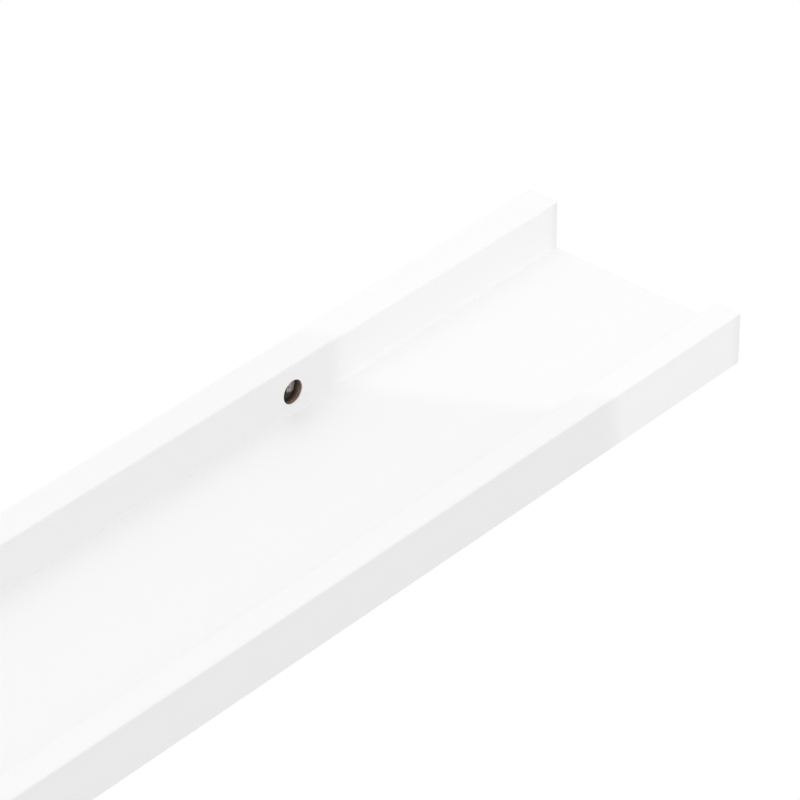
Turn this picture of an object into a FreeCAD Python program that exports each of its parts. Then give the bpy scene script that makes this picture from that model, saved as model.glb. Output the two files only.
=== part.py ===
import FreeCAD, Part
import os
import Sketcher

# A low picture ledge for a wall: a base board between a tall back rail and a low front lip.
# Fluted dowels join the three boards, and two screws in wall plugs hold the rail.
# +X runs along the wall, +Y into it and +Z up. The origin is on the wall face, midway
# between the two screws.

SIZES = {
    # boards
    "shelf_length": 600,       # end to end, along the wall
    "shelf_depth": 90,         # wall face to front face
    "base_thickness": 12,
    "rail_thickness": 12,
    "rail_height": 30,         # underside to top edge
    "lip_thickness": 10,
    "lip_height": 19.5,        # underside to top edge
    "arris_radius": 0.5,       # every edge that shows is eased by this much
    # screw holes in the rail
    "fixing_inset": 130,       # board end to screw axis
    "fixing_drop": 10.3,       # rail's top edge to screw axis
    "head_sink": 3,            # screw head's face below the rail's front face
    "head_clearance": 0.3,     # round the head, on the radius
    "shank_clearance": 0.5,    # round the shank, on the radius
    "seat_gap": 0.05,          # head's cone to its seat, along the axis
    # wall screws
    "screw_length": 45,
    "shank_diameter": 4,
    "head_diameter": 8,
    "head_rim": 0.4,           # height of the head's straight edge
    "cone_angle": 90,          # degrees, of the head and of its seat
    "tip_length": 5,
    "recess_span": 4.4,        # across the cross recess, at the head's face
    "recess_foot": 1.8,        # across the cross recess, at its bottom
    "recess_width": 1.1,
    "recess_depth": 2.3,
    # wall plugs
    "plug_length": 30,
    "plug_diameter": 6,
    "plug_set_back": 3,        # wall surface to the plug's mouth, through the plaster
    "plug_clearance": 0.1,     # round the screw's thread, on the radius
    "plug_neck": 8,            # plain, unslit length behind the mouth
    "leg_relief": 0.2,         # the two legs are this much slimmer, on the radius
    "tooth_count": 5,          # on each leg
    "tooth_depth": 0.4,
    "tooth_land": 0.8,
    "nose_length": 3,
    "nose_wall": 0.4,
    "slit_width": 0.8,
    # dowels
    "dowel_diameter": 6,
    "dowel_length": 25,
    "dowel_count": 5,          # along each glued edge
    "dowel_inset": 40,         # board end to the nearest dowel's axis
    "dowel_clearance": 0.1,    # glue film round a dowel, on the radius
    "dowel_end_gap": 1,        # room for glue at each end of a dowel
    "dowel_chamfer": 0.7,
    "flute_count": 10,
    "flute_depth": 0.35,
    "rail_skin": 4,            # wood left behind a dowel in the rail
    "lip_skin": 3.5,           # wood left in front of a dowel in the lip
}

# Places that more than one piece uses, worked out from the sheet.
FIXING_HEIGHT = "(Sizes.rail_height - Sizes.fixing_drop)"
FIXING_X = "(Sizes.shelf_length / 2 - Sizes.fixing_inset)"
FIXING_SPAN = "(Sizes.shelf_length - 2 * Sizes.fixing_inset)"
BASE_DEPTH = "(Sizes.shelf_depth - Sizes.rail_thickness - Sizes.lip_thickness)"
DOWEL_SPAN = "(Sizes.shelf_length - 2 * Sizes.dowel_inset)"
DOWEL_HEIGHT = "(Sizes.base_thickness / 2)"
DOWEL_BORE = "(Sizes.dowel_diameter + 2 * Sizes.dowel_clearance)"
DOWEL_ROOM = "(Sizes.dowel_length + 2 * Sizes.dowel_end_gap)"
RAIL_BORE_DEPTH = "(Sizes.rail_thickness - Sizes.rail_skin)"
LIP_BORE_DEPTH = "(Sizes.lip_thickness - Sizes.lip_skin)"
HEAD_RUN = "tan(Sizes.cone_angle / 2 * 1deg)"
PLUG_BORE = "(Sizes.shank_diameter + 2 * Sizes.plug_clearance)"
PLUG_TOOTHED = "(Sizes.plug_length - Sizes.nose_length - Sizes.plug_neck)"
LEG_RADIUS = "(Sizes.plug_diameter / 2 - Sizes.leg_relief)"

doc = FreeCAD.newDocument("PictureLedge")


def make_sheet():
    """Fill the spreadsheet of driving dimensions, one alias a row."""
    sheet = doc.addObject("Spreadsheet::Sheet", "Sizes")
    for row, (alias, value) in enumerate(SIZES.items(), start=1):
        sheet.set(f"A{row}", alias)
        sheet.set(f"B{row}", str(value))
        sheet.setAlias(f"B{row}", alias)
    doc.recompute()
    return sheet


def new_body(label):
    body = doc.addObject("PartDesign::Body", label)
    body.Label = label
    return body


def place(body, across, along, up):
    """Bind the body's position to three expressions, in X, Y and Z."""
    body.setExpression("Placement.Base.x", across)
    body.setExpression("Placement.Base.y", along)
    body.setExpression("Placement.Base.z", up)


def origin_part(body, role):
    return next(f for f in body.Origin.OriginFeatures if f.Role == role)


def add_sketch(body, name, plane, lift="0"):
    """A sketch on one of the body's origin planes, lifted along the plane's normal."""
    sketch = body.newObject("Sketcher::SketchObject", name)
    sketch.AttachmentSupport = [(origin_part(body, plane), "")]
    sketch.MapMode = "FlatFace"
    sketch.setExpression("AttachmentOffset.Base.z", lift)
    return sketch


def bind_point(sketch, geometry, point, across, up):
    """Hold a sketch point at two expressions, measured from the sketch's origin."""
    for kind, axis, expression in (("DistanceX", -2, across), ("DistanceY", -1, up)):
        if expression == "0":
            sketch.addConstraint(Sketcher.Constraint("PointOnObject", geometry, point, axis))
            continue
        value = float(sketch.evalExpression(expression))
        rule = Sketcher.Constraint(kind, -1, 1, geometry, point, value)
        index = sketch.addConstraint(rule)
        sketch.setExpression(f"Constraints[{index}]", expression)


def add_outline(sketch, corners):
    """A closed outline of straight lines through corners given as pairs of expressions."""
    points = [FreeCAD.Vector(float(sketch.evalExpression(across)),
                             float(sketch.evalExpression(up)), 0)
              for across, up in corners]
    last = len(points) - 1
    for index, point in enumerate(points):
        following = points[0 if index == last else index + 1]
        sketch.addGeometry(Part.LineSegment(point, following), False)
    for index, (across, up) in enumerate(corners):
        following = 0 if index == last else index + 1
        sketch.addConstraint(Sketcher.Constraint("Coincident", index, 2, following, 1))
        bind_point(sketch, index, 1, across, up)


def add_circle(sketch, across, up, radius):
    centre = FreeCAD.Vector(float(sketch.evalExpression(across)),
                            float(sketch.evalExpression(up)), 0)
    size = float(sketch.evalExpression(radius))
    circle = Part.Circle(centre, FreeCAD.Vector(0, 0, 1), size)
    index = sketch.addGeometry(circle, False)
    bind_point(sketch, index, 3, across, up)
    rule = sketch.addConstraint(Sketcher.Constraint("Radius", index, size))
    sketch.setExpression(f"Constraints[{rule}]", radius)


def add_pattern(body, name, feature, count, span):
    """Repeat a feature along the body's X axis, over a whole span."""
    pattern = body.newObject("PartDesign::LinearPattern", name)
    pattern.Originals = [feature]
    pattern.Direction = (origin_part(body, "X_Axis"), [""])
    pattern.setExpression("Length", span)
    pattern.setExpression("Occurrences", count)
    body.Tip = pattern
    doc.recompute()
    return pattern


def add_turns(body, name, feature, count, angle):
    """Repeat a feature round the body's Y axis: over a full turn, or up to the angle."""
    pattern = body.newObject("PartDesign::PolarPattern", name)
    pattern.Originals = [feature]
    pattern.Axis = (origin_part(body, "Y_Axis"), [""])
    pattern.Angle = angle
    pattern.Occurrences = count
    body.Tip = pattern
    doc.recompute()
    return pattern


def add_board(label, thickness, height):
    """A plain board, its lower left front corner at the body's origin."""
    body = new_body(label)
    section = add_sketch(body, f"{label}_section", "YZ_Plane")
    add_outline(section, [("0", "0"), (thickness, "0"), (thickness, height), ("0", height)])
    board = body.newObject("PartDesign::Pad", f"{label}_board")
    board.Profile = section
    board.setExpression("Length", "Sizes.shelf_length")
    doc.recompute()
    return body, board


def ease_edges(body, board, edges=None):
    """Round the named edges of a board, or all of them."""
    arris = body.newObject("PartDesign::Fillet", f"{body.Label}_arris")
    arris.Base = (board, edges or [])
    arris.UseAllEdges = edges is None
    arris.setExpression("Radius", "Sizes.arris_radius")
    doc.recompute()
    return arris


def drill_dowel_row(body, name, lift, depth, backwards):
    """A row of blind, flat-bottomed dowel bores in one long face of a board."""
    centre = add_sketch(body, f"{name}_centre", "XZ_Plane", lift)
    add_circle(centre, "Sizes.dowel_inset", DOWEL_HEIGHT, f"{DOWEL_BORE} / 2")
    doc.recompute()
    bore = body.newObject("PartDesign::Hole", f"{name}_bore")
    bore.Profile = centre
    bore.DepthType = "Dimension"
    bore.DrillPoint = "Flat"
    bore.Reversed = backwards
    bore.setExpression("Diameter", DOWEL_BORE)
    bore.setExpression("Depth", depth)
    doc.recompute()
    add_pattern(body, f"{name}_row", bore, "Sizes.dowel_count", DOWEL_SPAN)


def make_back_rail():
    """The board against the wall: dowelled to the base and drilled for two sunk screws."""
    body, board = add_board("back_rail", "Sizes.rail_thickness", "Sizes.rail_height")
    ease_edges(body, board)
    drill_dowel_row(body, "rail_dowel", "0", RAIL_BORE_DEPTH, backwards=False)

    centre = add_sketch(body, "screw_centre", "XZ_Plane")
    shank_hole = "(Sizes.shank_diameter + 2 * Sizes.shank_clearance)"
    add_circle(centre, "Sizes.fixing_inset", FIXING_HEIGHT, f"{shank_hole} / 2")
    doc.recompute()
    hole = body.newObject("PartDesign::Hole", "screw_hole")
    hole.Profile = centre
    hole.DepthType = "ThroughAll"
    hole.HoleCutType = "Counterdrill"
    hole.setExpression("Diameter", shank_hole)
    hole.setExpression("HoleCutDiameter", "Sizes.head_diameter + 2 * Sizes.head_clearance")
    hole.setExpression(
        "HoleCutDepth",
        f"Sizes.head_sink + Sizes.head_rim - Sizes.head_clearance / {HEAD_RUN} + Sizes.seat_gap",
    )
    hole.setExpression("HoleCutCountersinkAngle", "Sizes.cone_angle")
    doc.recompute()
    add_pattern(body, "screw_holes", hole, "2", FIXING_SPAN)
    place(body, "-Sizes.shelf_length / 2", "-Sizes.rail_thickness", f"-{FIXING_HEIGHT}")
    return body


def make_base_board():
    """The shelf itself. Its two upper long edges stay crisp, tight against rail and lip."""
    body, board = add_board("base_board", BASE_DEPTH, "Sizes.base_thickness")
    top = board.Shape.BoundBox.ZMax
    length = board.Shape.BoundBox.XLength
    eased = []
    for index, edge in enumerate(board.Shape.Edges, start=1):
        is_long = edge.BoundBox.XLength > length / 2
        if not (is_long and edge.BoundBox.ZMin > top / 2):
            eased.append(f"Edge{index}")
    ease_edges(body, board, eased)
    drill_dowel_row(body, "front_edge", "0", f"{DOWEL_ROOM} - {LIP_BORE_DEPTH}",
                    backwards=False)
    drill_dowel_row(body, "back_edge", f"-{BASE_DEPTH}", f"{DOWEL_ROOM} - {RAIL_BORE_DEPTH}",
                    backwards=True)
    place(body, "-Sizes.shelf_length / 2", "-(Sizes.shelf_depth - Sizes.lip_thickness)",
          f"-{FIXING_HEIGHT}")
    return body


def make_front_lip():
    """The low board that keeps things from sliding off. It covers the base's front edge."""
    body, board = add_board("front_lip", "Sizes.lip_thickness", "Sizes.lip_height")
    ease_edges(body, board)
    drill_dowel_row(body, "lip_dowel", "-Sizes.lip_thickness", LIP_BORE_DEPTH, backwards=True)
    place(body, "-Sizes.shelf_length / 2", "-Sizes.shelf_depth", f"-{FIXING_HEIGHT}")
    return body


def make_dowel(label, position, middle):
    """One fluted beech dowel lying along Y, its middle at the body's origin."""
    body = new_body(label)
    rim = "Sizes.dowel_diameter / 2"
    count = int(sheet.flute_count)
    section = add_sketch(body, f"{label}_section", "XZ_Plane")
    corner = f"{rim} / cos(180deg / Sizes.flute_count)"
    turns = [f"({index} * 360deg / Sizes.flute_count)" for index in range(count)]
    add_outline(section, [(f"{corner} * cos{turn}", f"{corner} * sin{turn}")
                          for turn in turns])
    rod = body.newObject("PartDesign::Pad", f"{label}_rod")
    rod.Profile = section
    rod.Midplane = True
    rod.setExpression("Length", "Sizes.dowel_length")
    doc.recompute()

    ends = [f"Face{index}" for index, face in enumerate(rod.Shape.Faces, start=1)
            if abs(face.normalAt(0, 0).y) > 0.99]
    lead = body.newObject("PartDesign::Chamfer", f"{label}_lead")
    lead.Base = (rod, ends)
    lead.setExpression("Size", "Sizes.dowel_chamfer")
    doc.recompute()

    # a flute along each corner of the rod leaves a narrow flat between two flutes
    groove = add_sketch(body, f"{label}_groove", "XZ_Plane")
    add_outline(groove, [
        (f"{rim} - Sizes.flute_depth", "0"),
        (f"{rim} + Sizes.flute_depth", "-2 * Sizes.flute_depth"),
        (f"{rim} + Sizes.flute_depth", "2 * Sizes.flute_depth"),
    ])
    flute = body.newObject("PartDesign::Pocket", f"{label}_flute")
    flute.Profile = groove
    flute.Type = "ThroughAll"
    flute.Midplane = True
    doc.recompute()
    flutes = add_turns(body, f"{label}_flutes", flute, 2, 360)
    flutes.setExpression("Occurrences", "Sizes.flute_count")
    doc.recompute()

    step = f"{DOWEL_SPAN} / (Sizes.dowel_count - 1)"
    place(body, f"-{DOWEL_SPAN} / 2 + {position} * {step}", middle,
          f"{DOWEL_HEIGHT} - {FIXING_HEIGHT}")
    return body


def make_wall_screw(label, side):
    """A countersunk screw with a cross recess, pointing along +Y from its head's face."""
    body = new_body(label)
    half = add_sketch(body, f"{label}_half", "XY_Plane")
    neck = f"Sizes.head_rim + (Sizes.head_diameter - Sizes.shank_diameter) / 2 / {HEAD_RUN}"
    add_outline(half, [
        ("0", "0"),
        ("Sizes.head_diameter / 2", "0"),
        ("Sizes.head_diameter / 2", "Sizes.head_rim"),
        ("Sizes.shank_diameter / 2", neck),
        ("Sizes.shank_diameter / 2", "Sizes.screw_length - Sizes.tip_length"),
        ("0", "Sizes.screw_length"),
    ])
    blank = body.newObject("PartDesign::Revolution", f"{label}_blank")
    blank.Profile = half
    blank.ReferenceAxis = (half, ["V_Axis"])
    blank.Angle = 360
    doc.recompute()

    arm = add_sketch(body, f"{label}_arm", "XY_Plane")
    add_outline(arm, [
        ("-Sizes.recess_span / 2", "0"),
        ("Sizes.recess_span / 2", "0"),
        ("Sizes.recess_foot / 2", "Sizes.recess_depth"),
        ("-Sizes.recess_foot / 2", "Sizes.recess_depth"),
    ])
    slot = body.newObject("PartDesign::Pocket", f"{label}_slot")
    slot.Profile = arm
    slot.Midplane = True
    slot.setExpression("Length", "Sizes.recess_width")
    doc.recompute()
    add_turns(body, f"{label}_cross", slot, 2, 90)

    place(body, f"{side} * {FIXING_X}", "Sizes.head_sink - Sizes.rail_thickness", "0")
    return body


def tooth_outline():
    """What is cut from one leg of the plug. Steep faces towards the mouth, then a land and a
    slope, which starts clear of the leg so that the land keeps the leg's own round."""
    valley = f"({LEG_RADIUS} - Sizes.tooth_depth)"
    pitch = f"(({PLUG_TOOTHED} - Sizes.tooth_land) / Sizes.tooth_count)"
    slope = f"(({pitch} - Sizes.tooth_land) / 2)"
    clear = f"({LEG_RADIUS} + Sizes.tooth_depth * Sizes.tooth_land / {slope})"
    corners = [("Sizes.plug_diameter", "Sizes.plug_neck")]
    for tooth in range(int(sheet.tooth_count)):
        start = f"Sizes.plug_neck + {tooth} * {pitch}"
        corners.append((clear, start))
        corners.append((valley, f"{start} + Sizes.tooth_land + {slope}"))
        corners.append((valley, f"{start} + {pitch}"))
    corners.append(("Sizes.plug_diameter",
                    f"Sizes.plug_neck + Sizes.tooth_count * {pitch}"))
    return corners


def make_wall_plug(label, side):
    """A split nylon plug along +Y, its mouth at the body's origin, spread by the screw."""
    body = new_body(label)
    bore = f"{PLUG_BORE} / 2"
    outside = "Sizes.plug_diameter / 2"
    half = add_sketch(body, f"{label}_half", "XY_Plane")
    add_outline(half, [
        (bore, "0"),
        (outside, "0"),
        (outside, "Sizes.plug_neck"),
        (LEG_RADIUS, "Sizes.plug_neck"),
        (LEG_RADIUS, "Sizes.plug_length - Sizes.nose_length"),
        (f"{bore} + Sizes.nose_wall", "Sizes.plug_length"),
        (bore, "Sizes.plug_length"),
    ])
    shell = body.newObject("PartDesign::Revolution", f"{label}_shell")
    shell.Profile = half
    shell.ReferenceAxis = (half, ["V_Axis"])
    shell.Angle = 360
    doc.recompute()

    # teeth on the two outer sides, cut straight across; the round stretches between them run
    # on to the nose and keep the plug from turning
    row = add_sketch(body, f"{label}_tooth_row", "XY_Plane")
    add_outline(row, tooth_outline())
    teeth = body.newObject("PartDesign::Pocket", f"{label}_teeth")
    teeth.Profile = row
    teeth.Type = "ThroughAll"
    teeth.Midplane = True
    doc.recompute()
    add_turns(body, f"{label}_both_teeth", teeth, 2, 360)

    # one slit behind the neck parts the toothed length into two legs
    gap = add_sketch(body, f"{label}_gap", "YZ_Plane")
    add_outline(gap, [
        ("Sizes.plug_neck", "-Sizes.plug_diameter"),
        ("2 * Sizes.plug_length", "-Sizes.plug_diameter"),
        ("2 * Sizes.plug_length", "Sizes.plug_diameter"),
        ("Sizes.plug_neck", "Sizes.plug_diameter"),
    ])
    slit = body.newObject("PartDesign::Pocket", f"{label}_slit")
    slit.Profile = gap
    slit.Midplane = True
    slit.setExpression("Length", "Sizes.slit_width")
    doc.recompute()

    place(body, f"{side} * {FIXING_X}", "Sizes.plug_set_back", "0")
    return body


def check(bodies):
    """Stop on any feature that failed and on any piece that isn't one sound solid."""
    for item in doc.Objects:
        if {"Invalid", "Error"} & set(item.State):
            raise RuntimeError(f"{item.Label} did not compute: {item.State}")
    for body in bodies:
        shape = body.Shape
        if shape.isNull() or not shape.isValid() or len(shape.Solids) != 1:
            raise RuntimeError(f"{body.Label} is not one valid solid")


sheet = make_sheet()
rail_middle = "-(Sizes.rail_skin + Sizes.dowel_end_gap + Sizes.dowel_length / 2)"
lip_middle = ("-(Sizes.shelf_depth - Sizes.lip_skin - Sizes.dowel_end_gap"
              " - Sizes.dowel_length / 2)")
pieces = [make_back_rail(), make_base_board(), make_front_lip()]
for position in range(int(sheet.dowel_count)):
    pieces.append(make_dowel(f"rail_dowel_{position + 1}", position, rail_middle))
    pieces.append(make_dowel(f"lip_dowel_{position + 1}", position, lip_middle))
for name, side in (("left", -1), ("right", 1)):
    pieces.append(make_wall_screw(f"wall_screw_{name}", side))
    pieces.append(make_wall_plug(f"wall_plug_{name}", side))

doc.recompute()
check(pieces)
os.makedirs("parts", exist_ok=True)
for piece in pieces:
    piece.Shape.exportStep(f"parts/{piece.Label}.step")
    box = piece.Shape.BoundBox
    print(f"{piece.Label}: {piece.Shape.Volume:.1f} mm3,"
          f" X {box.XMin:.2f}..{box.XMax:.2f}, Y {box.YMin:.2f}..{box.YMax:.2f},"
          f" Z {box.ZMin:.2f}..{box.ZMax:.2f}")
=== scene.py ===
import math

import bmesh
import bpy
from mathutils import Matrix, Vector


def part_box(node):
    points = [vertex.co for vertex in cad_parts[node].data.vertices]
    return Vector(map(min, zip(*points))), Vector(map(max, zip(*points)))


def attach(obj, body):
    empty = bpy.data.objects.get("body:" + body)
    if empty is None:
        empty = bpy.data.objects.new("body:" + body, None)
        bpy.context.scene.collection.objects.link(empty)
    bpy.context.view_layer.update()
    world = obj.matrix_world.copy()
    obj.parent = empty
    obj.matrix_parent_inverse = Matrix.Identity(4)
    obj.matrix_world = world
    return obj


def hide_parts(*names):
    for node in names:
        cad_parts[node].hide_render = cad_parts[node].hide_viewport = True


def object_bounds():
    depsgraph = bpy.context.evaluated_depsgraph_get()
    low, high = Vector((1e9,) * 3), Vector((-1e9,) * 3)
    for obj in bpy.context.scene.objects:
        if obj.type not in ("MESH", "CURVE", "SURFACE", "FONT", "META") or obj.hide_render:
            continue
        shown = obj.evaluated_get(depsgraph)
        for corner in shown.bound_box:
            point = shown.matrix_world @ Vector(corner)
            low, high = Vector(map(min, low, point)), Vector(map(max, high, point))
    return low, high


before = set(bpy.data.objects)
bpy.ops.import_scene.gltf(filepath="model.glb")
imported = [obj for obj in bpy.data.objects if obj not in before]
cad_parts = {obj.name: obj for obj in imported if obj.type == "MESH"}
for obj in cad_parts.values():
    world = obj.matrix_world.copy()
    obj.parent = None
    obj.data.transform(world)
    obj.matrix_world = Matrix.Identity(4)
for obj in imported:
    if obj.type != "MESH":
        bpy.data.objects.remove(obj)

bl_info = {
    "name": "Picture Ledge",
    "version": (1, 0, 0),
    "blender": (4, 5, 0),
    "location": "3D View > Sidebar > Ledge",
    "description": "Paints a picture ledge, makes its screws and lights it",
    "category": "Object",
}

MM = 0.001
ROOT = "root"
SCREW_SIDES = ("left", "right")
SCREW_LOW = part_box("wall_screw_right")[0]     # its Y is where the screw heads' faces lie
HEAD_RADIUS = (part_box("wall_screw_right")[1].x - SCREW_LOW.x) / 2
SCREW_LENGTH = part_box("wall_screw_right")[1].y - SCREW_LOW.y
OBJECT_LOW, OBJECT_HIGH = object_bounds()

# Fades on the boards: the distance where each starts, where it is full, and how far it goes
# partly wear and partly painted shade along the arrises
ARRIS_WEAR_AND_SHADE = (0.45 * MM, 0.1 * MM, 0.3)
# painted shade near the ends of the boards
END_SHADE = (5.0 * MM, 0.5 * MM, 0.4)
# painted light in the inner corners, by distance from the corner
CORNER_LIGHT_RUN = (13.0 * MM, 1.0 * MM, 0.4)
CORNER_LIGHT_BEAD = (2.4 * MM, 0.3 * MM, 0.45)
# painted shade in the bores, growing with depth
BORE_SHADE = (0.5 * MM, 2.7 * MM, 0.88)
COAT_EDGE = 0.05 * MM              # how softly the lacquer ends inside a hole
DUST_RISE = 0.02 * MM
GLUED_UNDER = 50.0 * MM            # how far the base is taken to run on under its neighbours
FIBRE_RISE = 0.12 * MM

# The same for the screws, with distances behind the head's face, off the axis or downwards
RECESS_DULL = (0.15 * MM, 1.2 * MM, 0.4)
RECESS_REACH = (2.6 * MM, 2.0 * MM, 1.0)
HEAD_REACH = (3.2 * MM, 2.6 * MM, 1.0)
# painted shade on the lower side of a screw head
LOWER_SHADE_FADE = (0.8 * MM, 2.0 * MM, 0.96)
LOWER_SHADE_RAGGED = 0.4 * MM
CRYSTALS_PER_METRE = 2600.0
TURNING_PITCH, TURNING_RISE = 0.16 * MM, 0.0012 * MM

# The screw's mesh
COLUMNS = 32                       # faces round the screw
RIM_BEVEL_IN, RIM_BEVEL_BACK = 0.12 * MM, 0.10 * MM
RIM_END = 0.4 * MM                 # where the rim ends and the cone begins
CONE_HOLLOW = 0.25 * MM            # the rounding between cone and neck
NECK_LENGTH = 3.0 * MM
THREAD_CREST = 2.0 * MM            # radius
TIP_LENGTH = 5.0 * MM
RECESS_FOOT = 2.25 * MM
# span, half width, corner and depth of the cross recess, in mm, from the face inwards
RECESS_LOOPS = ((2.05, 0.50, 0.16, 0.0), (1.95, 0.44, 0.15, 0.12), (0.95, 0.34, 0.10, 1.9))
# share of the pitch and rise from root to crest
THREAD_PROFILE = ((0.0, 0.0), (0.30, 0.0), (0.60, 1.0), (0.67, 1.0), (0.97, 0.0))
WELD = 0.0004 * MM
SHARP_ANGLE = math.radians(32)

# The stage, in metres and degrees
FLOOR_REACH = 6.0
WALL_WIDE, WALL_TALL, WALL_BEHIND = 1.1, 0.7, 0.4 * MM
LAMP_PLACE, LAMP_AIM, LAMP_SIZE = (-0.1, -0.4, 2.0), (-0.1, -0.399, 0.0), (1.6, 3.3)
BEAM_HEADING, BEAM_RISE, BEAM_HALF_ANGLE = 28.7, 27.0, 4.5
BEAM_THROW, BEAM_BLEND, BEAM_SOFTNESS = 3.6, 0.04, 3.0 * MM
CAMERA_PLACE = (-0.65906, -0.80260, 0.78465)
CAMERA_PITCH, CAMERA_HEADING, CAMERA_ROLL = 34.531, 48.055, -0.273
CAMERA_LENS, CAMERA_SENSOR = 197.27, 36.0     # mm
CAMERA_RANGE = (0.01, 30.0)


# ---------------------------------------------------------------------------
# Settings
# ---------------------------------------------------------------------------

class LedgePaint(bpy.types.PropertyGroup):
    """The satin lacquer on the three boards, and the fibreboard under it"""

    colour: bpy.props.FloatVectorProperty(
        name="Lacquer", description="Colour of the lacquer",
        subtype="COLOR", size=3, min=0.0, max=1.0, default=(0.90, 0.90, 0.90))
    # the darker colour of a thin coat, used for wear and dust and also as painted shade on the
    # arrises and near the ends
    thin_coat_and_shade_colour: bpy.props.FloatVectorProperty(
        name="Thin Lacquer", description="Colour where the lacquer is thin, along the arrises",
        subtype="COLOR", size=3, min=0.0, max=1.0, default=(0.78, 0.775, 0.765))
    # painted light: the lighter coat in the inner corners, standing in for light bounced there
    corner_light_colour: bpy.props.FloatVectorProperty(
        name="Thick Lacquer", description="Colour where the lacquer has run into a corner",
        subtype="COLOR", size=3, min=0.0, max=1.0, default=(0.955, 0.955, 0.955))
    roughness: bpy.props.FloatProperty(
        name="Roughness", description="Middle roughness of the lacquer",
        subtype="FACTOR", min=0.0, max=1.0, default=0.48)
    peel_depth: bpy.props.FloatProperty(
        name="Orange Peel", description="Height of the ripple left by the spray gun",
        subtype="DISTANCE", unit="LENGTH", min=0.0, default=0.004 * MM)
    peel_size: bpy.props.FloatProperty(
        name="Peel Size", description="Width of one ripple of the orange peel",
        subtype="DISTANCE", unit="LENGTH", min=0.1 * MM, default=1.6 * MM)
    reach: bpy.props.FloatProperty(
        name="Paint Reach", description="How far the lacquer runs into a drilled hole",
        subtype="DISTANCE", unit="LENGTH", min=0.0, default=0.23 * MM)
    fibre_light: bpy.props.FloatVectorProperty(
        name="Light Fibres", description="Colour of the lighter fibres of the bare board",
        subtype="COLOR", size=3, min=0.0, max=1.0, default=(0.51, 0.345, 0.262))
    fibre_dark: bpy.props.FloatVectorProperty(
        name="Dark Fibres", description="Colour of the darker fibres of the bare board",
        subtype="COLOR", size=3, min=0.0, max=1.0, default=(0.17, 0.105, 0.08))
    # painted shade: the colour that darkens a bore's upper side and its depths near the screw
    # head
    bore_shade: bpy.props.FloatVectorProperty(
        name="Scorch", description="Colour of the fibres that the drill has scorched",
        subtype="COLOR", size=3, min=0.0, max=1.0, default=(0.022, 0.014, 0.011))


class LedgeFixings(bpy.types.PropertyGroup):
    """The screws, the wall plugs and the dowels"""

    zinc: bpy.props.FloatVectorProperty(
        name="Zinc", description="Colour of the zinc plating on the screws",
        subtype="COLOR", size=3, min=0.0, max=1.0, default=(0.93, 0.92, 0.88))
    zinc_dull: bpy.props.FloatVectorProperty(
        name="Dull Zinc", description="Colour of the plating where it has dulled",
        subtype="COLOR", size=3, min=0.0, max=1.0, default=(0.47, 0.455, 0.445))
    # painted shade: the colour of the lower side of a screw head
    lower_head_shade: bpy.props.FloatVectorProperty(
        name="Grime", description="Colour of the drilling dust caked on the lower side of a head",
        subtype="COLOR", size=3, min=0.0, max=1.0, default=(0.040, 0.024, 0.013))
    neck_width: bpy.props.FloatProperty(
        name="Neck", description="Diameter of a screw's smooth neck behind the head",
        subtype="DISTANCE", unit="LENGTH", min=1.5 * MM, max=3.8 * MM, default=2.9 * MM)
    root_width: bpy.props.FloatProperty(
        name="Thread Root", description="Diameter of a screw between its threads",
        subtype="DISTANCE", unit="LENGTH", min=1.2 * MM, max=3.4 * MM, default=2.5 * MM)
    pitch: bpy.props.FloatProperty(
        name="Thread Pitch", description="How far a screw advances in one turn",
        subtype="DISTANCE", unit="LENGTH", min=1.0 * MM, max=3.0 * MM, default=1.9 * MM)
    nylon: bpy.props.FloatVectorProperty(
        name="Nylon", description="Colour of the wall plugs",
        subtype="COLOR", size=3, min=0.0, max=1.0, default=(0.30, 0.305, 0.31))
    beech: bpy.props.FloatVectorProperty(
        name="Beech", description="Colour of the dowels between the grain lines",
        subtype="COLOR", size=3, min=0.0, max=1.0, default=(0.62, 0.42, 0.26))
    beech_grain: bpy.props.FloatVectorProperty(
        name="Beech Grain", description="Colour of the dowels' grain lines and flecks",
        subtype="COLOR", size=3, min=0.0, max=1.0, default=(0.42, 0.25, 0.135))


class LedgeStage(bpy.types.PropertyGroup):
    """The room that the ledge is shown in"""

    floor_drop: bpy.props.FloatProperty(
        name="Floor Drop", description="From the ledge down to the floor",
        subtype="DISTANCE", unit="LENGTH", min=0.2, default=1.2)
    floor_colour: bpy.props.FloatVectorProperty(
        name="Floor", description="Colour of the floor",
        subtype="COLOR", size=3, min=0.0, max=1.0, default=(0.83, 0.83, 0.83))
    sky: bpy.props.FloatProperty(
        name="Room Light", description="Strength of the even light from all round",
        subtype="FACTOR", min=0.0, max=1.0, default=0.912)
    key: bpy.props.FloatProperty(
        name="Ceiling Light", description="Power of the soft lamp above the ledge",
        unit="POWER", min=0.0, default=8.6)
    side: bpy.props.FloatProperty(
        name="Side Light", description="Power of the beam that lifts the ledge's right end",
        unit="POWER", min=0.0, default=47.0)
    side_edge: bpy.props.FloatProperty(
        name="Side Light Edge", description="Where the beam starts, along the ledge's middle",
        subtype="DISTANCE", unit="LENGTH", default=0.2055)


# ---------------------------------------------------------------------------
# Node helpers
# ---------------------------------------------------------------------------

def add_node(tree, kind, **settings):
    node = tree.nodes.new(kind)
    for name, value in settings.items():
        setattr(node, name, value)
    return node


def feed(tree, socket, value):
    """Join a socket to another socket, or give it a plain value."""
    if isinstance(value, bpy.types.NodeSocket):
        tree.links.new(value, socket)
    elif isinstance(value, (tuple, list, Vector)) and socket.type == "RGBA":
        socket.default_value = (*value[:3], 1.0)
    elif value is not None:
        socket.default_value = value


def maths(tree, operation, *values, clamp=False):
    node = add_node(tree, "ShaderNodeMath", operation=operation, use_clamp=clamp)
    for socket, value in zip(node.inputs, values):
        feed(tree, socket, value)
    return node.outputs[0]


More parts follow.
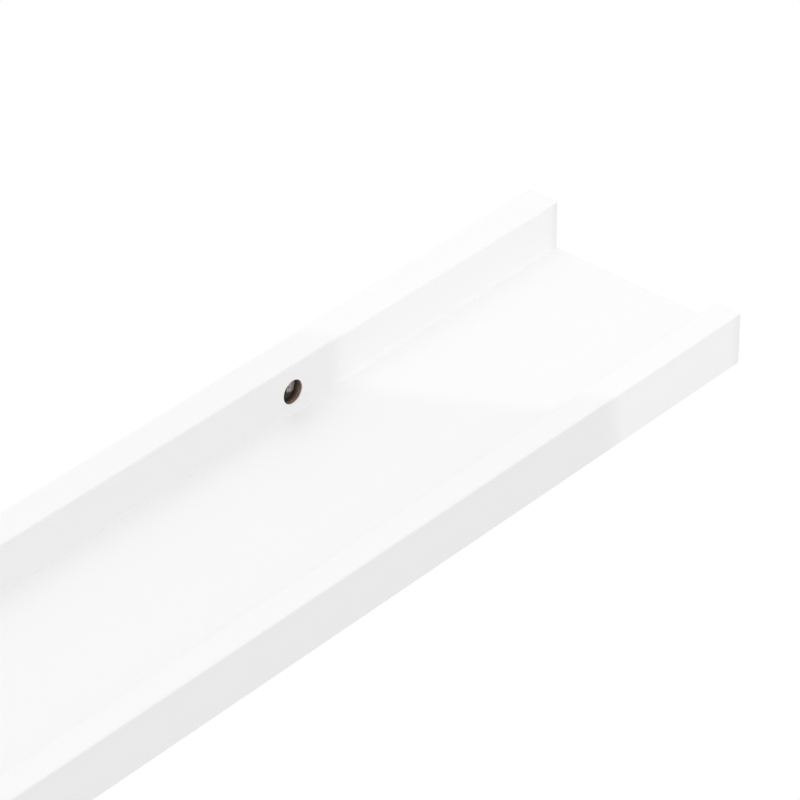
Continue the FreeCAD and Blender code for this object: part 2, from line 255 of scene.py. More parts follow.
def vector_maths(tree, operation, *values):
    node = add_node(tree, "ShaderNodeVectorMath", operation=operation)
    vectors = [socket for socket in node.inputs if socket.type == "VECTOR"]
    for socket, value in zip(vectors, values):
        feed(tree, socket, value)
    return node.outputs["Value" if operation == "LENGTH" else "Vector"]


def scaled(tree, vector, factors):
    return vector_maths(tree, "MULTIPLY", vector, factors)


def ramp(tree, value, low, high, start=0.0, end=1.0):
    """Value taken from low..high to start..end, with soft ends."""
    node = add_node(tree, "ShaderNodeMapRange", interpolation_type="SMOOTHSTEP")
    for name, number in (("Value", value), ("From Min", low), ("From Max", high),
                         ("To Min", start), ("To Max", end)):
        feed(tree, node.inputs[name], number)
    return node.outputs["Result"]


def fade(tree, value, start, full, most):
    """0 where value is at start, rising softly to most where it is at full."""
    return ramp(tree, value, start, full, 0.0, most)


def parts_of(tree, vector):
    """A vector's X, Y and Z."""
    node = add_node(tree, "ShaderNodeSeparateXYZ")
    feed(tree, node.inputs[0], vector)
    return node.outputs


def blend(tree, kind, share, first, second):
    node = add_node(tree, "ShaderNodeMix", data_type=kind)
    inputs = [socket for socket in node.inputs if socket.enabled]
    for socket, value in zip(inputs, (share, first, second)):
        feed(tree, socket, value)
    return next(socket for socket in node.outputs if socket.enabled)


def blend_colours(tree, share, first, second):
    return blend(tree, "RGBA", share, first, second)


def blend_values(tree, share, first, second):
    return blend(tree, "FLOAT", share, first, second)


def noise(tree, position, scale, detail=2.0, roughness=0.5, distortion=0.0):
    node = add_node(tree, "ShaderNodeTexNoise")
    for name, value in (("Vector", position), ("Scale", scale), ("Detail", detail),
                        ("Roughness", roughness), ("Distortion", distortion)):
        feed(tree, node.inputs[name], value)
    return node.outputs["Fac"]


def new_group(name, inputs, outputs):
    """A shader node group with named sockets. Returns the tree and its two end nodes."""
    tree = bpy.data.node_groups.new(name, "ShaderNodeTree")
    for label, kind, default in inputs:
        socket = tree.interface.new_socket(
            name=label, in_out="INPUT", socket_type=f"NodeSocket{kind}")
        if default is not None:
            socket.default_value = default
    for label, kind in outputs:
        tree.interface.new_socket(
            name=label, in_out="OUTPUT", socket_type=f"NodeSocket{kind}")
    return tree, tree.nodes.new("NodeGroupInput"), tree.nodes.new("NodeGroupOutput")


def use_group(tree, group, **values):
    """Place a group in a material and feed its inputs by name, with _ for a space."""
    node = add_node(tree, "ShaderNodeGroup", node_tree=group)
    for name, value in values.items():
        feed(tree, node.inputs[name.replace("_", " ")], value)
    return node.outputs


# ---------------------------------------------------------------------------
# Effects that more than one material uses
# ---------------------------------------------------------------------------

def board_place_group():
    """How deep a point lies in a board, and how far it is from the nearest arris."""
    name = "board_place"
    if name in bpy.data.node_groups:
        return bpy.data.node_groups[name]
    tree, start, end = new_group(
        name,
        [("Position", "Vector", None), ("Low Corner", "Vector", None),
         ("High Corner", "Vector", None)],
        [("Depth", "Float"), ("Arris Distance", "Float")])
    above = vector_maths(tree, "SUBTRACT", start.outputs["Position"],
                         start.outputs["Low Corner"])
    below = vector_maths(tree, "SUBTRACT", start.outputs["High Corner"],
                         start.outputs["Position"])
    nearest = vector_maths(tree, "MINIMUM", above, below)
    along, into, up = parts_of(tree, nearest)
    least = maths(tree, "MINIMUM", along, into)
    most = maths(tree, "MAXIMUM", along, into)
    feed(tree, end.inputs["Depth"], maths(tree, "MINIMUM", least, up))
    second = maths(tree, "MAXIMUM", least, maths(tree, "MINIMUM", most, up))
    feed(tree, end.inputs["Arris Distance"], second)
    return tree


def mottle_group():
    """A soft, uneven value between two limits, for tone and roughness."""
    name = "mottle"
    if name in bpy.data.node_groups:
        return bpy.data.node_groups[name]
    tree, start, end = new_group(
        name,
        [("Position", "Vector", None), ("Patch Size", "Float", 20.0 * MM),
         ("Lowest", "Float", 0.0), ("Highest", "Float", 1.0)],
        [("Value", "Float")])
    scale = maths(tree, "DIVIDE", 1.0, start.outputs["Patch Size"])
    patches = noise(tree, start.outputs["Position"], scale, detail=4.0, roughness=0.55)
    value = ramp(tree, patches, 0.3, 0.7, start.outputs["Lowest"], start.outputs["Highest"])
    feed(tree, end.inputs["Value"], value)
    return tree


def fine_relief_group():
    """Small ripples of a given width and height, in metres, for a Bump node."""
    name = "fine_relief"
    if name in bpy.data.node_groups:
        return bpy.data.node_groups[name]
    tree, start, end = new_group(
        name,
        [("Position", "Vector", None), ("Width", "Float", 1.0 * MM),
         ("Rise", "Float", 0.004 * MM)],
        [("Height", "Float")])
    scale = maths(tree, "DIVIDE", 1.0, start.outputs["Width"])
    coarse = noise(tree, start.outputs["Position"], scale, detail=1.0, roughness=0.4)
    fine = noise(tree, start.outputs["Position"], maths(tree, "MULTIPLY", scale, 3.7),
                 detail=1.0, roughness=0.5)
    both = maths(tree, "MULTIPLY_ADD", fine, 0.25, coarse)
    feed(tree, end.inputs["Height"], maths(tree, "MULTIPLY", both, start.outputs["Rise"]))
    return tree


def specks_group():
    """Sparse small specks: 1 inside a speck and 0 elsewhere."""
    name = "specks"
    if name in bpy.data.node_groups:
        return bpy.data.node_groups[name]
    tree, start, end = new_group(
        name,
        [("Position", "Vector", None), ("Spacing", "Float", 10.0 * MM),
         ("Radius", "Float", 0.2 * MM), ("Share", "Float", 0.3)],
        [("Mask", "Float")])
    cells = add_node(tree, "ShaderNodeTexVoronoi", feature="F1")
    feed(tree, cells.inputs["Vector"], start.outputs["Position"])
    feed(tree, cells.inputs["Scale"], maths(tree, "DIVIDE", 1.0, start.outputs["Spacing"]))
    distance = maths(tree, "MULTIPLY", cells.outputs["Distance"], start.outputs["Spacing"])
    inside = ramp(tree, distance, start.outputs["Radius"],
                  maths(tree, "MULTIPLY", start.outputs["Radius"], 0.5))
    split = add_node(tree, "ShaderNodeSeparateColor")
    feed(tree, split.inputs[0], cells.outputs["Color"])
    chosen = maths(tree, "LESS_THAN", split.outputs[0], start.outputs["Share"])
    feed(tree, end.inputs["Mask"], maths(tree, "MULTIPLY", inside, chosen))
    return tree


def fibreboard_group():
    """Bare fibreboard: pressed fibres of two tones with a torn, felt-like relief."""
    name = "fibreboard"
    if name in bpy.data.node_groups:
        return bpy.data.node_groups[name]
    tree, start, end = new_group(
        name,
        [("Position", "Vector", None), ("Light Fibres", "Color", (0.46, 0.33, 0.24, 1.0)),
         ("Dark Fibres", "Color", (0.23, 0.145, 0.1, 1.0))],
        [("Color", "Color"), ("Height", "Float")])
    along = scaled(tree, start.outputs["Position"], (700.0, 2600.0, 4200.0))
    across = scaled(tree, start.outputs["Position"], (3600.0, 2200.0, 900.0))
    strands = maths(tree, "MAXIMUM", noise(tree, along, 1.0, 3.0, 0.6, 0.6),
                    noise(tree, across, 1.0, 3.0, 0.6, 0.6))
    clumps = noise(tree, start.outputs["Position"], 420.0, 2.0, 0.5)
    share = maths(tree, "ADD", maths(tree, "MULTIPLY", strands, 0.7),
                  maths(tree, "MULTIPLY", clumps, 0.4))
    tone = ramp(tree, share, 0.38, 0.80)
    colour = blend_colours(tree, tone, start.outputs["Dark Fibres"],
                           start.outputs["Light Fibres"])
    feed(tree, end.inputs["Color"], colour)
    feed(tree, end.inputs["Height"], maths(tree, "MULTIPLY", strands, FIBRE_RISE))
    return tree


# ---------------------------------------------------------------------------
# Materials
# ---------------------------------------------------------------------------

def new_material(name):
    """An empty material with a Principled shader. Returns it, its tree and the shader."""
    material = bpy.data.materials.new(name)
    material.use_nodes = True
    tree = material.node_tree
    tree.nodes.clear()
    output = tree.nodes.new("ShaderNodeOutputMaterial")
    shader = tree.nodes.new("ShaderNodeBsdfPrincipled")
    tree.links.new(shader.outputs[0], output.inputs["Surface"])
    return material, tree, shader


def place_of(tree):
    return tree.nodes.new("ShaderNodeTexCoord").outputs["Object"]


def bump(tree, height):
    """A normal from a height in metres."""
    node = add_node(tree, "ShaderNodeBump")
    feed(tree, node.inputs["Height"], height)
    node.inputs["Strength"].default_value = 1.0
    node.inputs["Distance"].default_value = 1.0
    return node.outputs["Normal"]


def lacquered_board(name, node, glued=0.0):
    """White satin lacquer over fibreboard, for the board whose corners node has.

    A board glued between two others is taken to run on under them by the length glued, so
    that it is bare on its glued faces and not worn along their arrises.
    """
    paint = bpy.context.scene.ledge_paint
    low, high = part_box(node)
    low, high = low - Vector((0.0, glued, 0.0)), high + Vector((0.0, glued, 0.0))
    material, tree, shader = new_material(name)
    here = place_of(tree)
    place = use_group(tree, board_place_group(), Position=here,
                      Low_Corner=low, High_Corner=high)

    # lacquer: faint clouds, a thinner coat on the arrises, which is partly wear and partly
    # painted shade, and a few specks of dust
    clouds = use_group(tree, mottle_group(), Position=here, Patch_Size=70.0 * MM,
                       Lowest=0.0, Highest=0.35)["Value"]
    ragged = use_group(tree, mottle_group(), Position=here, Patch_Size=4.0 * MM,
                       Lowest=0.35, Highest=1.0)["Value"]
    arris = fade(tree, place["Arris Distance"], *ARRIS_WEAR_AND_SHADE)
    thin = maths(tree, "MULTIPLY", arris, ragged)
    faint = maths(tree, "MULTIPLY", clouds, 0.06)
    coat = blend_colours(tree, maths(tree, "MAXIMUM", thin, faint),
                         tuple(paint.colour), tuple(paint.thin_coat_and_shade_colour))

    # on upright faces, painted light: a lighter coat towards the inner corner by the deck; and
    # painted shade: a darker coat near the ends
    facing = parts_of(tree, tree.nodes.new("ShaderNodeNewGeometry").outputs["Normal"])
    upright = ramp(tree, facing["Y"], -0.5, -0.9)
    deck_low, deck_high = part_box("base_board")
    corners = [vector_maths(tree, "SUBTRACT", here, (0.0, edge, deck_high.z))
               for edge in (deck_low.y, deck_high.y)]
    corners = [vector_maths(tree, "LENGTH", scaled(tree, corner, (0.0, 1.0, 1.0)))
               for corner in corners]
    corner_distance = maths(tree, "MINIMUM", *corners)
    corner_light = maths(tree, "ADD", fade(tree, corner_distance, *CORNER_LIGHT_RUN),
                     fade(tree, corner_distance, *CORNER_LIGHT_BEAD))
    coat = blend_colours(tree, maths(tree, "MULTIPLY", corner_light, upright), coat,
                         tuple(paint.corner_light_colour))
    # painted shade: upright faces darker within a few millimetres of the ends
    start, full, most = END_SHADE
    end = fade(tree, maths(tree, "ABSOLUTE", parts_of(tree, here)["X"]),
               high.x - start, high.x - full, most)
    coat = blend_colours(tree, maths(tree, "MULTIPLY", end, upright), coat,
                         tuple(paint.thin_coat_and_shade_colour))
    dust = use_group(tree, specks_group(), Position=here, Spacing=22.0 * MM,
                     Radius=0.22 * MM, Share=0.3)["Mask"]
    coat = blend_colours(tree, maths(tree, "MULTIPLY", dust, 0.35), coat,
                         tuple(paint.thin_coat_and_shade_colour))
    gloss = use_group(tree, mottle_group(), Position=here, Patch_Size=30.0 * MM,
                      Lowest=paint.roughness - 0.04, Highest=paint.roughness + 0.05)["Value"]
    peel = use_group(tree, fine_relief_group(), Position=here, Width=paint.peel_size,
                     Rise=paint.peel_depth)["Height"]
    peel = maths(tree, "MULTIPLY_ADD", dust, DUST_RISE, peel)

    # bare fibreboard, wherever a drill went deeper than the lacquer runs, with painted shade:
    # darker on the bore's upper side and deeper in, towards the screw head
    fibres = use_group(tree, fibreboard_group(), Position=here,
                       Light_Fibres=tuple(paint.fibre_light),
                       Dark_Fibres=tuple(paint.fibre_dark))
    overhead_shade = fade(tree, facing["Z"], -0.1, -0.7, 0.94)
    deep = fade(tree, place["Depth"], *BORE_SHADE)
    bore = blend_colours(tree, maths(tree, "MAXIMUM", overhead_shade, deep),
                         fibres["Color"], tuple(paint.bore_shade))
    bare = ramp(tree, place["Depth"], paint.reach, paint.reach + COAT_EDGE)
    feed(tree, shader.inputs["Base Color"], blend_colours(tree, bare, coat, bore))
    feed(tree, shader.inputs["Roughness"], blend_values(tree, bare, gloss, 1.0))
    feed(tree, shader.inputs["Normal"],
         bump(tree, blend_values(tree, bare, peel, fibres["Height"])))
    shader.inputs["IOR"].default_value = 1.48
    return material


def zinc_plated_steel():
    """Bright zinc plating: small crystals, turning marks on the head, dull in hollows, and
    painted shade on the lower side of the head.
    """
    fixings = bpy.context.scene.ledge_fixings
    material, tree, shader = new_material("zinc_plated_steel")
    here = place_of(tree)
    across, behind, up = parts_of(tree, here)
    off_axis = vector_maths(tree, "LENGTH", scaled(tree, here, (1.0, 0.0, 1.0)))

    crystals = add_node(tree, "ShaderNodeTexVoronoi", feature="F1")
    feed(tree, crystals.inputs["Vector"], here)
    crystals.inputs["Scale"].default_value = CRYSTALS_PER_METRE
    spangle = add_node(tree, "ShaderNodeSeparateColor")
    feed(tree, spangle.inputs[0], crystals.outputs["Color"])
    dulled = use_group(tree, mottle_group(), Position=here, Patch_Size=1.3 * MM,
                       Lowest=-0.35, Highest=1.0)["Value"]
    recess = fade(tree, behind, *RECESS_DULL)
    inner = fade(tree, off_axis, *RECESS_REACH)
    in_head = fade(tree, behind, *HEAD_REACH)
    hollow = maths(tree, "MULTIPLY", maths(tree, "MULTIPLY", recess, inner), in_head)
    tone = maths(tree, "MULTIPLY_ADD", spangle.outputs[0], 0.25, dulled)
    share = maths(tree, "MAXIMUM", maths(tree, "MULTIPLY", tone, 0.8), hollow, clamp=True)
    plating = blend_colours(tree, share, tuple(fixings.zinc), tuple(fixings.zinc_dull))

    # painted shade on the lower side of the head: darker, duller and not metallic towards the
    # bottom
    down = maths(tree, "MULTIPLY_ADD", across, -0.25, maths(tree, "MULTIPLY", up, -1.0))
    ragged = use_group(tree, mottle_group(), Position=here, Patch_Size=0.8 * MM,
                       Lowest=-LOWER_SHADE_RAGGED, Highest=LOWER_SHADE_RAGGED)["Value"]
    shade_fade = fade(tree, maths(tree, "ADD", down, ragged), *LOWER_SHADE_FADE)
    lower_head_shade = maths(tree, "MULTIPLY", shade_fade, in_head)
    feed(tree, shader.inputs["Base Color"],
         blend_colours(tree, lower_head_shade, plating, tuple(fixings.lower_head_shade)))
    feed(tree, shader.inputs["Roughness"],
         blend_values(tree, lower_head_shade, ramp(tree, share, 0.0, 1.0, 0.48, 0.66), 0.9))
    feed(tree, shader.inputs["Metallic"], maths(tree, "SUBTRACT", 1.0, lower_head_shade))

    rings = maths(tree, "SINE", maths(tree, "MULTIPLY", off_axis, 2 * math.pi / TURNING_PITCH))
    marks = maths(tree, "MULTIPLY", rings, TURNING_RISE)
    grit = use_group(tree, fine_relief_group(), Position=here, Width=0.25 * MM,
                     Rise=0.008 * MM)["Height"]
    feed(tree, shader.inputs["Normal"], bump(tree, maths(tree, "ADD", marks, grit)))
    return material


def moulded_nylon():
    """Grey nylon with a spark-eroded mould texture and a paler bloom in patches."""
    fixings = bpy.context.scene.ledge_fixings
    material, tree, shader = new_material("moulded_nylon")
    here = place_of(tree)
    colour = tuple(fixings.nylon)
    paler = tuple(min(1.0, part * 1.35) for part in colour)
    bloom = use_group(tree, mottle_group(), Position=here, Patch_Size=3.0 * MM,
                      Lowest=0.0, Highest=1.0)["Value"]
    feed(tree, shader.inputs["Base Color"], blend_colours(tree, bloom, colour, paler))
    feed(tree, shader.inputs["Roughness"],
         use_group(tree, mottle_group(), Position=here, Patch_Size=1.2 * MM,
                   Lowest=0.40, Highest=0.58)["Value"])
    relief = use_group(tree, fine_relief_group(), Position=here, Width=0.22 * MM,
                       Rise=0.012 * MM)["Height"]
    feed(tree, shader.inputs["Normal"], bump(tree, relief))
    shader.inputs["IOR"].default_value = 1.53
    shader.inputs["Subsurface Weight"].default_value = 0.15
    shader.inputs["Subsurface Radius"].default_value = (1.0, 1.0, 1.0)
    shader.inputs["Subsurface Scale"].default_value = 0.4 * MM
    return material


def beech_wood():
    """Steamed beech along +Y, with growth rings, short dark flecks and fine pores."""
    fixings = bpy.context.scene.ledge_fixings
    material, tree, shader = new_material("beech_wood")
    here = place_of(tree)
    along = scaled(tree, here, (1.0, 0.12, 1.0))
    rings = noise(tree, along, 620.0, 3.0, 0.55, 0.8)
    fleck_space = scaled(tree, here, (3400.0, 420.0, 3400.0))
    flecks = ramp(tree, noise(tree, fleck_space, 1.0, 1.0, 0.4), 0.58, 0.68)
    pores = ramp(tree, noise(tree, scaled(tree, here, (9000.0, 900.0, 9000.0)), 1.0, 0.0),
                 0.55, 0.75)
    grain = maths(tree, "ADD", ramp(tree, rings, 0.35, 0.68, 0.0, 0.6),
                  maths(tree, "MULTIPLY", flecks, 0.45), clamp=True)
    feed(tree, shader.inputs["Base Color"],
         blend_colours(tree, grain, tuple(fixings.beech), tuple(fixings.beech_grain)))
    feed(tree, shader.inputs["Roughness"],
         use_group(tree, mottle_group(), Position=here, Patch_Size=2.0 * MM,
                   Lowest=0.55, Highest=0.7)["Value"])
    height = maths(tree, "MULTIPLY", pores, -0.02 * MM)
    feed(tree, shader.inputs["Normal"], bump(tree, height))
    return material


def give_material(obj, material):
    """Put a material in every slot of an object, or in a first one."""
    if obj.material_slots:
        for slot in obj.material_slots:
            slot.link = "OBJECT"
            slot.material = material
    else:
        obj.data.materials.append(material)


# ---------------------------------------------------------------------------
# Meshes
# ---------------------------------------------------------------------------

def ring(shape, radius, depth, count):
    """A ring of points round the Y axis."""
    return [shape.verts.new((radius * math.cos(turn), depth, radius * math.sin(turn)))
            for turn in (2 * math.pi * index / count for index in range(count))]


def skin(shape, first, second):
    """Faces between two closed loops of as many points each."""
    count = len(first)
    for index in range(count):
        following = (index + 1) % count
        shape.faces.new((first[index], first[following], second[following], second[index]))


def cross_outline(span, width, corner):
    """The points of a cross with rounded inner corners, anticlockwise."""
    points = []
    for quarter in range(4):
        turn = Matrix.Rotation(quarter * math.pi / 2, 2)
        arm = [(span, -width), (span + 0.35 * width, 0.0), (span, width),
               (width + 2 * corner, width), (width + 0.6 * corner, width + 0.6 * corner),
               (width, width + 2 * corner)]
        points += [turn @ Vector(point) for point in arm]
    return points


def head_face(shape):
    """The head's flat face with its cross recess. Returns the ring round the face."""
    outer = ring(shape, HEAD_RADIUS - RIM_BEVEL_IN, 0.0, COLUMNS)
    loops = [[shape.verts.new((p.x, depth * MM, p.y))
              for p in cross_outline(span * MM, width * MM, corner * MM)]
             for span, width, corner, depth in RECESS_LOOPS]
    for first, second in zip(loops, loops[1:]):
        skin(shape, first, second)
    foot = shape.verts.new((0.0, RECESS_FOOT, 0.0))
    last = loops[-1]
    for index, point in enumerate(last):
        shape.faces.new((point, last[(index + 1) % len(last)], foot))
    edges = []
    for loop in (outer, loops[0]):
        edges += [shape.edges.get((point, loop[(index + 1) % len(loop)]))
                  or shape.edges.new((point, loop[(index + 1) % len(loop)]))
                  for index, point in enumerate(loop)]
    bmesh.ops.triangle_fill(shape, use_beauty=True, edges=edges, normal=(0.0, -1.0, 0.0))
    return outer


def threaded_rows(shape, start, root, neck, pitch):
    """The thread as rows that follow the helix, from the neck at start to the point."""
    turns = math.ceil((SCREW_LENGTH - start) / pitch) + 2
    rows = [(turn + share) * pitch
            for turn in range(-1, turns) for share, _ in THREAD_PROFILE]
    rises = [rise for _ in range(-1, turns) for _, rise in THREAD_PROFILE]

    def point(row, column):
        depth = start + rows[row] + pitch * (column / COLUMNS)
        depth = min(max(depth, start), SCREW_LENGTH)
        taper = min(1.0, (SCREW_LENGTH - depth) / TIP_LENGTH)
        grown = min(1.0, max(0.0, (depth - start) / pitch))
        body = root + (neck - root) * (1.0 - grown)
        radius = (body + (THREAD_CREST - body) * rises[row] * grown) * taper
        turn = 2 * math.pi * column / COLUMNS
        return (radius * math.cos(turn), depth, radius * math.sin(turn))

    grid = [[shape.verts.new(point(row, column)) for column in range(COLUMNS + 1)]
            for row in range(len(rows))]
    for upper, lower in zip(grid, grid[1:]):
        for column in range(COLUMNS):
            shape.faces.new((upper[column], upper[column + 1],
                             lower[column + 1], lower[column]))


def screw_mesh(fixings):
    """One wood screw along +Y from its head's face: recess, cone, neck, thread, point."""
    shape = bmesh.new()
    previous = head_face(shape)
    neck = fixings.neck_width / 2
    cone_end = RIM_END + HEAD_RADIUS - neck
    neck_end = cone_end + NECK_LENGTH
    stations = [(HEAD_RADIUS, RIM_BEVEL_BACK), (HEAD_RADIUS, RIM_END),
                (neck + CONE_HOLLOW, cone_end - CONE_HOLLOW), (neck + 0.06 * MM, cone_end),
                (neck, cone_end + 0.2 * MM), (neck, neck_end)]
    for radius, depth in stations:
        following = ring(shape, radius, depth, COLUMNS)
        skin(shape, previous, following)
        previous = following
    threaded_rows(shape, neck_end, fixings.root_width / 2, neck, fixings.pitch)
    bmesh.ops.remove_doubles(shape, verts=shape.verts, dist=WELD)
    bmesh.ops.dissolve_degenerate(shape, edges=shape.edges, dist=WELD)
    bmesh.ops.recalc_face_normals(shape, faces=shape.faces)
    open_edges = [edge for edge in shape.edges if not edge.is_manifold]
    if open_edges:
        raise RuntimeError(f"the screw's mesh has {len(open_edges)} open edges")
    for face in shape.faces:
        face.smooth = True
    for edge in shape.edges:
        edge.smooth = edge.calc_face_angle(0.0) < SHARP_ANGLE
    mesh = bpy.data.meshes.new("wall_screw")
    shape.to_mesh(mesh)
    shape.free()
    return mesh


# ---------------------------------------------------------------------------
# Operators
# ---------------------------------------------------------------------------

def dress(node, material):
    """Give one of the model's pieces its material."""
    give_material(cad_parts[node], material)


class LEDGE_OT_back_rail(bpy.types.Operator):
    """Lacquer the back rail and leave its screw holes bare inside"""

    bl_idname = "ledge.back_rail"
    bl_label = "Back Rail"

    def execute(self, context):
        dress("back_rail", lacquered_board("lacquered_back_rail", "back_rail"))
        return {"FINISHED"}


class LEDGE_OT_base_board(bpy.types.Operator):
    """Lacquer the base board"""

    bl_idname = "ledge.base_board"
    bl_label = "Base Board"

    def execute(self, context):
        dress("base_board", lacquered_board("lacquered_base_board", "base_board",
                                            glued=GLUED_UNDER))
        return {"FINISHED"}


class LEDGE_OT_front_lip(bpy.types.Operator):
    """Lacquer the front lip"""

    bl_idname = "ledge.front_lip"
    bl_label = "Front Lip"

    def execute(self, context):
        dress("front_lip", lacquered_board("lacquered_front_lip", "front_lip"))
        return {"FINISHED"}


class LEDGE_OT_dowels(bpy.types.Operator):
    """Give the dowels their beech"""

    bl_idname = "ledge.dowels"
    bl_label = "Dowels"

    def execute(self, context):
        material = beech_wood()
        names = [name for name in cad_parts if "dowel" in name]
        if not names:
            raise RuntimeError("the model has no dowels")
        for name in names:
            dress(name, material)
        return {"FINISHED"}


class LEDGE_OT_wall_screws(bpy.types.Operator):
    """Make the two wall screws with their threads and cross recesses"""

    bl_idname = "ledge.wall_screws"
    bl_label = "Wall Screws"

    def execute(self, context):
        material = zinc_plated_steel()
        mesh = screw_mesh(context.scene.ledge_fixings)
        mesh.materials.append(material)
        for side in SCREW_SIDES:
            node = f"wall_screw_{side}"
            low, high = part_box(node)
            middle = (low + high) / 2
            screw = bpy.data.objects.new(f"threaded_screw_{side}", mesh)
            screw.location = (middle.x, low.y, middle.z)
            context.scene.collection.objects.link(screw)
            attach(screw, ROOT)
            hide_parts(node)
        return {"FINISHED"}


class LEDGE_OT_wall_plugs(bpy.types.Operator):
    """Give the wall plugs their nylon"""

    bl_idname = "ledge.wall_plugs"
    bl_label = "Wall Plugs"

    def execute(self, context):
        material = moulded_nylon()
        for side in SCREW_SIDES:
            dress(f"wall_plug_{side}", material)
        return {"FINISHED"}


def seen_directly(tree):
    """1 for what the camera sees, also in a mirror or through glass."""
    light = tree.nodes.new("ShaderNodeLightPath")
    mirrored = maths(tree, "MAXIMUM", light.outputs["Is Glossy Ray"],
                     light.outputs["Is Transmission Ray"])
    return maths(tree, "MAXIMUM", light.outputs["Is Camera Ray"], mirrored)


def mix_shaders(tree, share, first, second):
    """The first shader where share is 0 and the second where it is 1."""
    node = tree.nodes.new("ShaderNodeMixShader")
    for socket, value in zip(node.inputs, (share, first, second)):
        feed(tree, socket, value)
    return node.outputs[0]


def flat_sheet(name, corners):
    """One face that belongs to the stage."""
    mesh = bpy.data.meshes.new(name)
    mesh.from_pydata(corners, [], [(0, 1, 2, 3)])
    sheet = bpy.data.objects.new(name, mesh)
    bpy.context.scene.collection.objects.link(sheet)
    return sheet


def add_room_light(stage):
    """Even light from all round, in front of a white backdrop."""
    world = bpy.data.worlds.new("room_light")
    world.use_nodes = True
    tree = world.node_tree
    tree.nodes.clear()
    output = tree.nodes.new("ShaderNodeOutputWorld")
    light = tree.nodes.new("ShaderNodeBackground")
    light.inputs["Strength"].default_value = stage.sky
    backdrop = tree.nodes.new("ShaderNodeBackground")
    backdrop.inputs["Strength"].default_value = 1.0
    for node in (light, backdrop):
        node.inputs["Color"].default_value = (1.0, 1.0, 1.0, 1.0)
    feed(tree, output.inputs["Surface"],
         mix_shaders(tree, seen_directly(tree), light.outputs[0], backdrop.outputs[0]))
    bpy.context.scene.world = world


def add_floor(stage):
    """A pale floor, clear when it is seen from below."""
    reach, height = FLOOR_REACH, OBJECT_LOW.z - stage.floor_drop
    floor = flat_sheet("floor", [(-reach, -reach, height), (reach, -reach, height),
                                 (reach, reach, height), (-reach, reach, height)])
    material, tree, shader = new_material("pale_floor")
    here = place_of(tree)
    tone = use_group(tree, mottle_group(), Position=here, Patch_Size=0.5,
                     Lowest=0.98, Highest=1.0)["Value"]
    feed(tree, shader.inputs["Base Color"],
         blend_colours(tree, tone, (0.0, 0.0, 0.0), tuple(stage.floor_colour)))
    shader.inputs["Roughness"].default_value = 0.8
    glow = tree.nodes.new("ShaderNodeEmission")
    glow.inputs["Strength"].default_value = 1.0 - stage.floor_colour[0] * stage.sky
    both = tree.nodes.new("ShaderNodeAddShader")
    feed(tree, both.inputs[0], shader.outputs[0])
    feed(tree, both.inputs[1], glow.outputs[0])
    upper = mix_shaders(tree, seen_directly(tree), shader.outputs[0], both.outputs[0])
    clear = tree.nodes.new("ShaderNodeBsdfTransparent")
    side = tree.nodes.new("ShaderNodeNewGeometry")
    output = next(node for node in tree.nodes if node.type == "OUTPUT_MATERIAL")
    feed(tree, output.inputs["Surface"],
         mix_shaders(tree, side.outputs["Backfacing"], upper, clear.outputs[0]))
    floor.data.materials.append(material)


def add_wall():
    """A white wall, shown only to a camera in front of it, that hides plugs and threads."""
    wide, tall, behind = WALL_WIDE, WALL_TALL, WALL_BEHIND
    wall = flat_sheet("wall", [(-wide, behind, -tall), (wide, behind, -tall),
                               (wide, behind, tall), (-wide, behind, tall)])
    material = bpy.data.materials.new("white_wall")
    material.use_nodes = True
    tree = material.node_tree
    tree.nodes.clear()
    output = tree.nodes.new("ShaderNodeOutputMaterial")
    clear = tree.nodes.new("ShaderNodeBsdfTransparent")
    white = tree.nodes.new("ShaderNodeEmission")
    light = tree.nodes.new("ShaderNodeLightPath")
    side = tree.nodes.new("ShaderNodeNewGeometry")
    from_front = maths(tree, "SUBTRACT", light.outputs["Is Camera Ray"],
                       side.outputs["Backfacing"], clamp=True)
    feed(tree, output.inputs["Surface"],
         mix_shaders(tree, from_front, clear.outputs[0], white.outputs[0]))
    wall.data.materials.append(material)


def place_lamp(data, place, aim):
    """An object for a lamp's data, turned from its place towards its aim."""
    lamp = bpy.data.objects.new(data.name, data)
    lamp.location = place
    direction = Vector(aim) - Vector(place)
    lamp.rotation_euler = direction.to_track_quat("-Z", "Y").to_euler()
    bpy.context.scene.collection.objects.link(lamp)


def add_ceiling_lamp(stage):
    """A wide soft lamp above the ledge."""
    data = bpy.data.lights.new("ceiling_lamp", "AREA")
    data.shape = "RECTANGLE"
    data.size, data.size_y = LAMP_SIZE
    data.energy = stage.key
    place_lamp(data, LAMP_PLACE, LAMP_AIM)


def add_side_beam(stage):
    """A beam from the front right, crisp at its left edge, that lifts the ledge's right end."""
    heading, rise = math.radians(BEAM_HEADING), math.radians(BEAM_RISE)
    half_angle = math.radians(BEAM_HALF_ANGLE)
    back = Vector((math.sin(heading), -math.cos(heading), 0.0))
    right = Vector((math.cos(heading), math.sin(heading), 0.0))
    edge = Vector((stage.side_edge, OBJECT_LOW.y / 2, 0.0))
    data = bpy.data.lights.new("side_beam", "SPOT")
    data.energy = stage.side
    data.spot_size, data.spot_blend = 2 * half_angle, BEAM_BLEND
    data.shadow_soft_size = BEAM_SOFTNESS
    data.use_shadow = False
    away = back * math.cos(rise) + Vector((0.0, 0.0, math.sin(rise)))
    aim = edge + right * BEAM_THROW * math.tan(half_angle)
    place_lamp(data, edge + BEAM_THROW * away, aim)


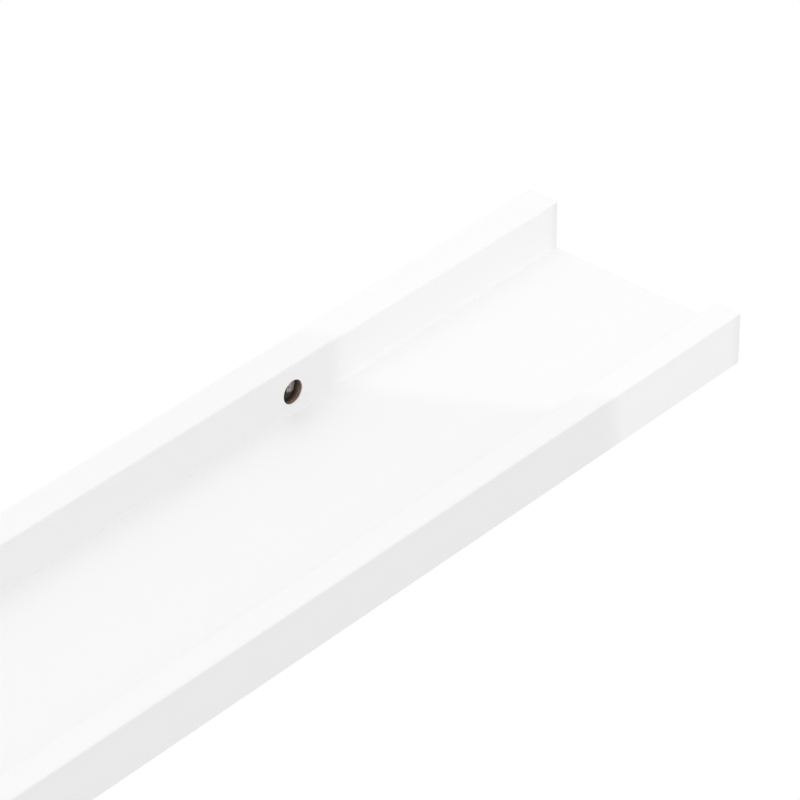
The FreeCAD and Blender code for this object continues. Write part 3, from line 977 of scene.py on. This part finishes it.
def add_camera():
    """A long lens from the front left, well above the ledge."""
    pitch, heading, roll = (
        math.radians(angle) for angle in (CAMERA_PITCH, CAMERA_HEADING, CAMERA_ROLL))
    ahead = Vector((math.sin(heading) * math.cos(pitch),
                    math.cos(heading) * math.cos(pitch), -math.sin(pitch)))
    level = Vector((math.cos(heading), -math.sin(heading), 0.0))
    upright = level.cross(ahead)
    right = math.cos(roll) * level + math.sin(roll) * upright
    above = -math.sin(roll) * level + math.cos(roll) * upright
    data = bpy.data.cameras.new("camera")
    data.sensor_width = CAMERA_SENSOR
    data.lens = CAMERA_LENS
    data.clip_start, data.clip_end = CAMERA_RANGE
    camera = bpy.data.objects.new("camera", data)
    turn = Matrix((right, above, -ahead)).transposed()
    camera.matrix_world = Matrix.Translation(CAMERA_PLACE) @ turn.to_4x4()
    bpy.context.scene.collection.objects.link(camera)
    bpy.context.scene.camera = camera


class LEDGE_OT_stage(bpy.types.Operator):
    """Set up the floor, the wall, the lamps and the camera"""

    bl_idname = "ledge.stage"
    bl_label = "Stage"

    def execute(self, context):
        stage = context.scene.ledge_stage
        context.scene.view_settings.view_transform = "Standard"
        add_camera()
        add_room_light(stage)
        add_floor(stage)
        add_wall()
        add_ceiling_lamp(stage)
        add_side_beam(stage)
        return {"FINISHED"}


class LEDGE_PT_panel(bpy.types.Panel):
    """The ledge's settings and the steps that finish it"""

    bl_label = "Picture Ledge"
    bl_idname = "LEDGE_PT_panel"
    bl_space_type = "VIEW_3D"
    bl_region_type = "UI"
    bl_category = "Ledge"

    def draw(self, context):
        layout = self.layout
        for step in STEPS:
            layout.operator(step.bl_idname)
        for group in (context.scene.ledge_paint, context.scene.ledge_fixings,
                      context.scene.ledge_stage):
            box = layout.box()
            for name in group.bl_rna.properties.keys():
                if name not in {"rna_type", "name"}:
                    box.prop(group, name)


STEPS = (LEDGE_OT_stage, LEDGE_OT_back_rail, LEDGE_OT_base_board, LEDGE_OT_front_lip,
         LEDGE_OT_dowels, LEDGE_OT_wall_screws, LEDGE_OT_wall_plugs)
SETTINGS = (("ledge_paint", LedgePaint), ("ledge_fixings", LedgeFixings),
            ("ledge_stage", LedgeStage))


def register():
    for name, group in SETTINGS:
        bpy.utils.register_class(group)
        setattr(bpy.types.Scene, name, bpy.props.PointerProperty(type=group))
    for step in STEPS:
        bpy.utils.register_class(step)
    bpy.utils.register_class(LEDGE_PT_panel)


def unregister():
    bpy.utils.unregister_class(LEDGE_PT_panel)
    for step in reversed(STEPS):
        bpy.utils.unregister_class(step)
    for name, group in reversed(SETTINGS):
        delattr(bpy.types.Scene, name)
        bpy.utils.unregister_class(group)


def main():
    register()
    bpy.ops.ledge.stage()
    bpy.ops.ledge.back_rail()
    bpy.ops.ledge.base_board()
    bpy.ops.ledge.front_lip()
    bpy.ops.ledge.dowels()
    bpy.ops.ledge.wall_screws()
    bpy.ops.ledge.wall_plugs()


if __name__ == "__main__":
    main()
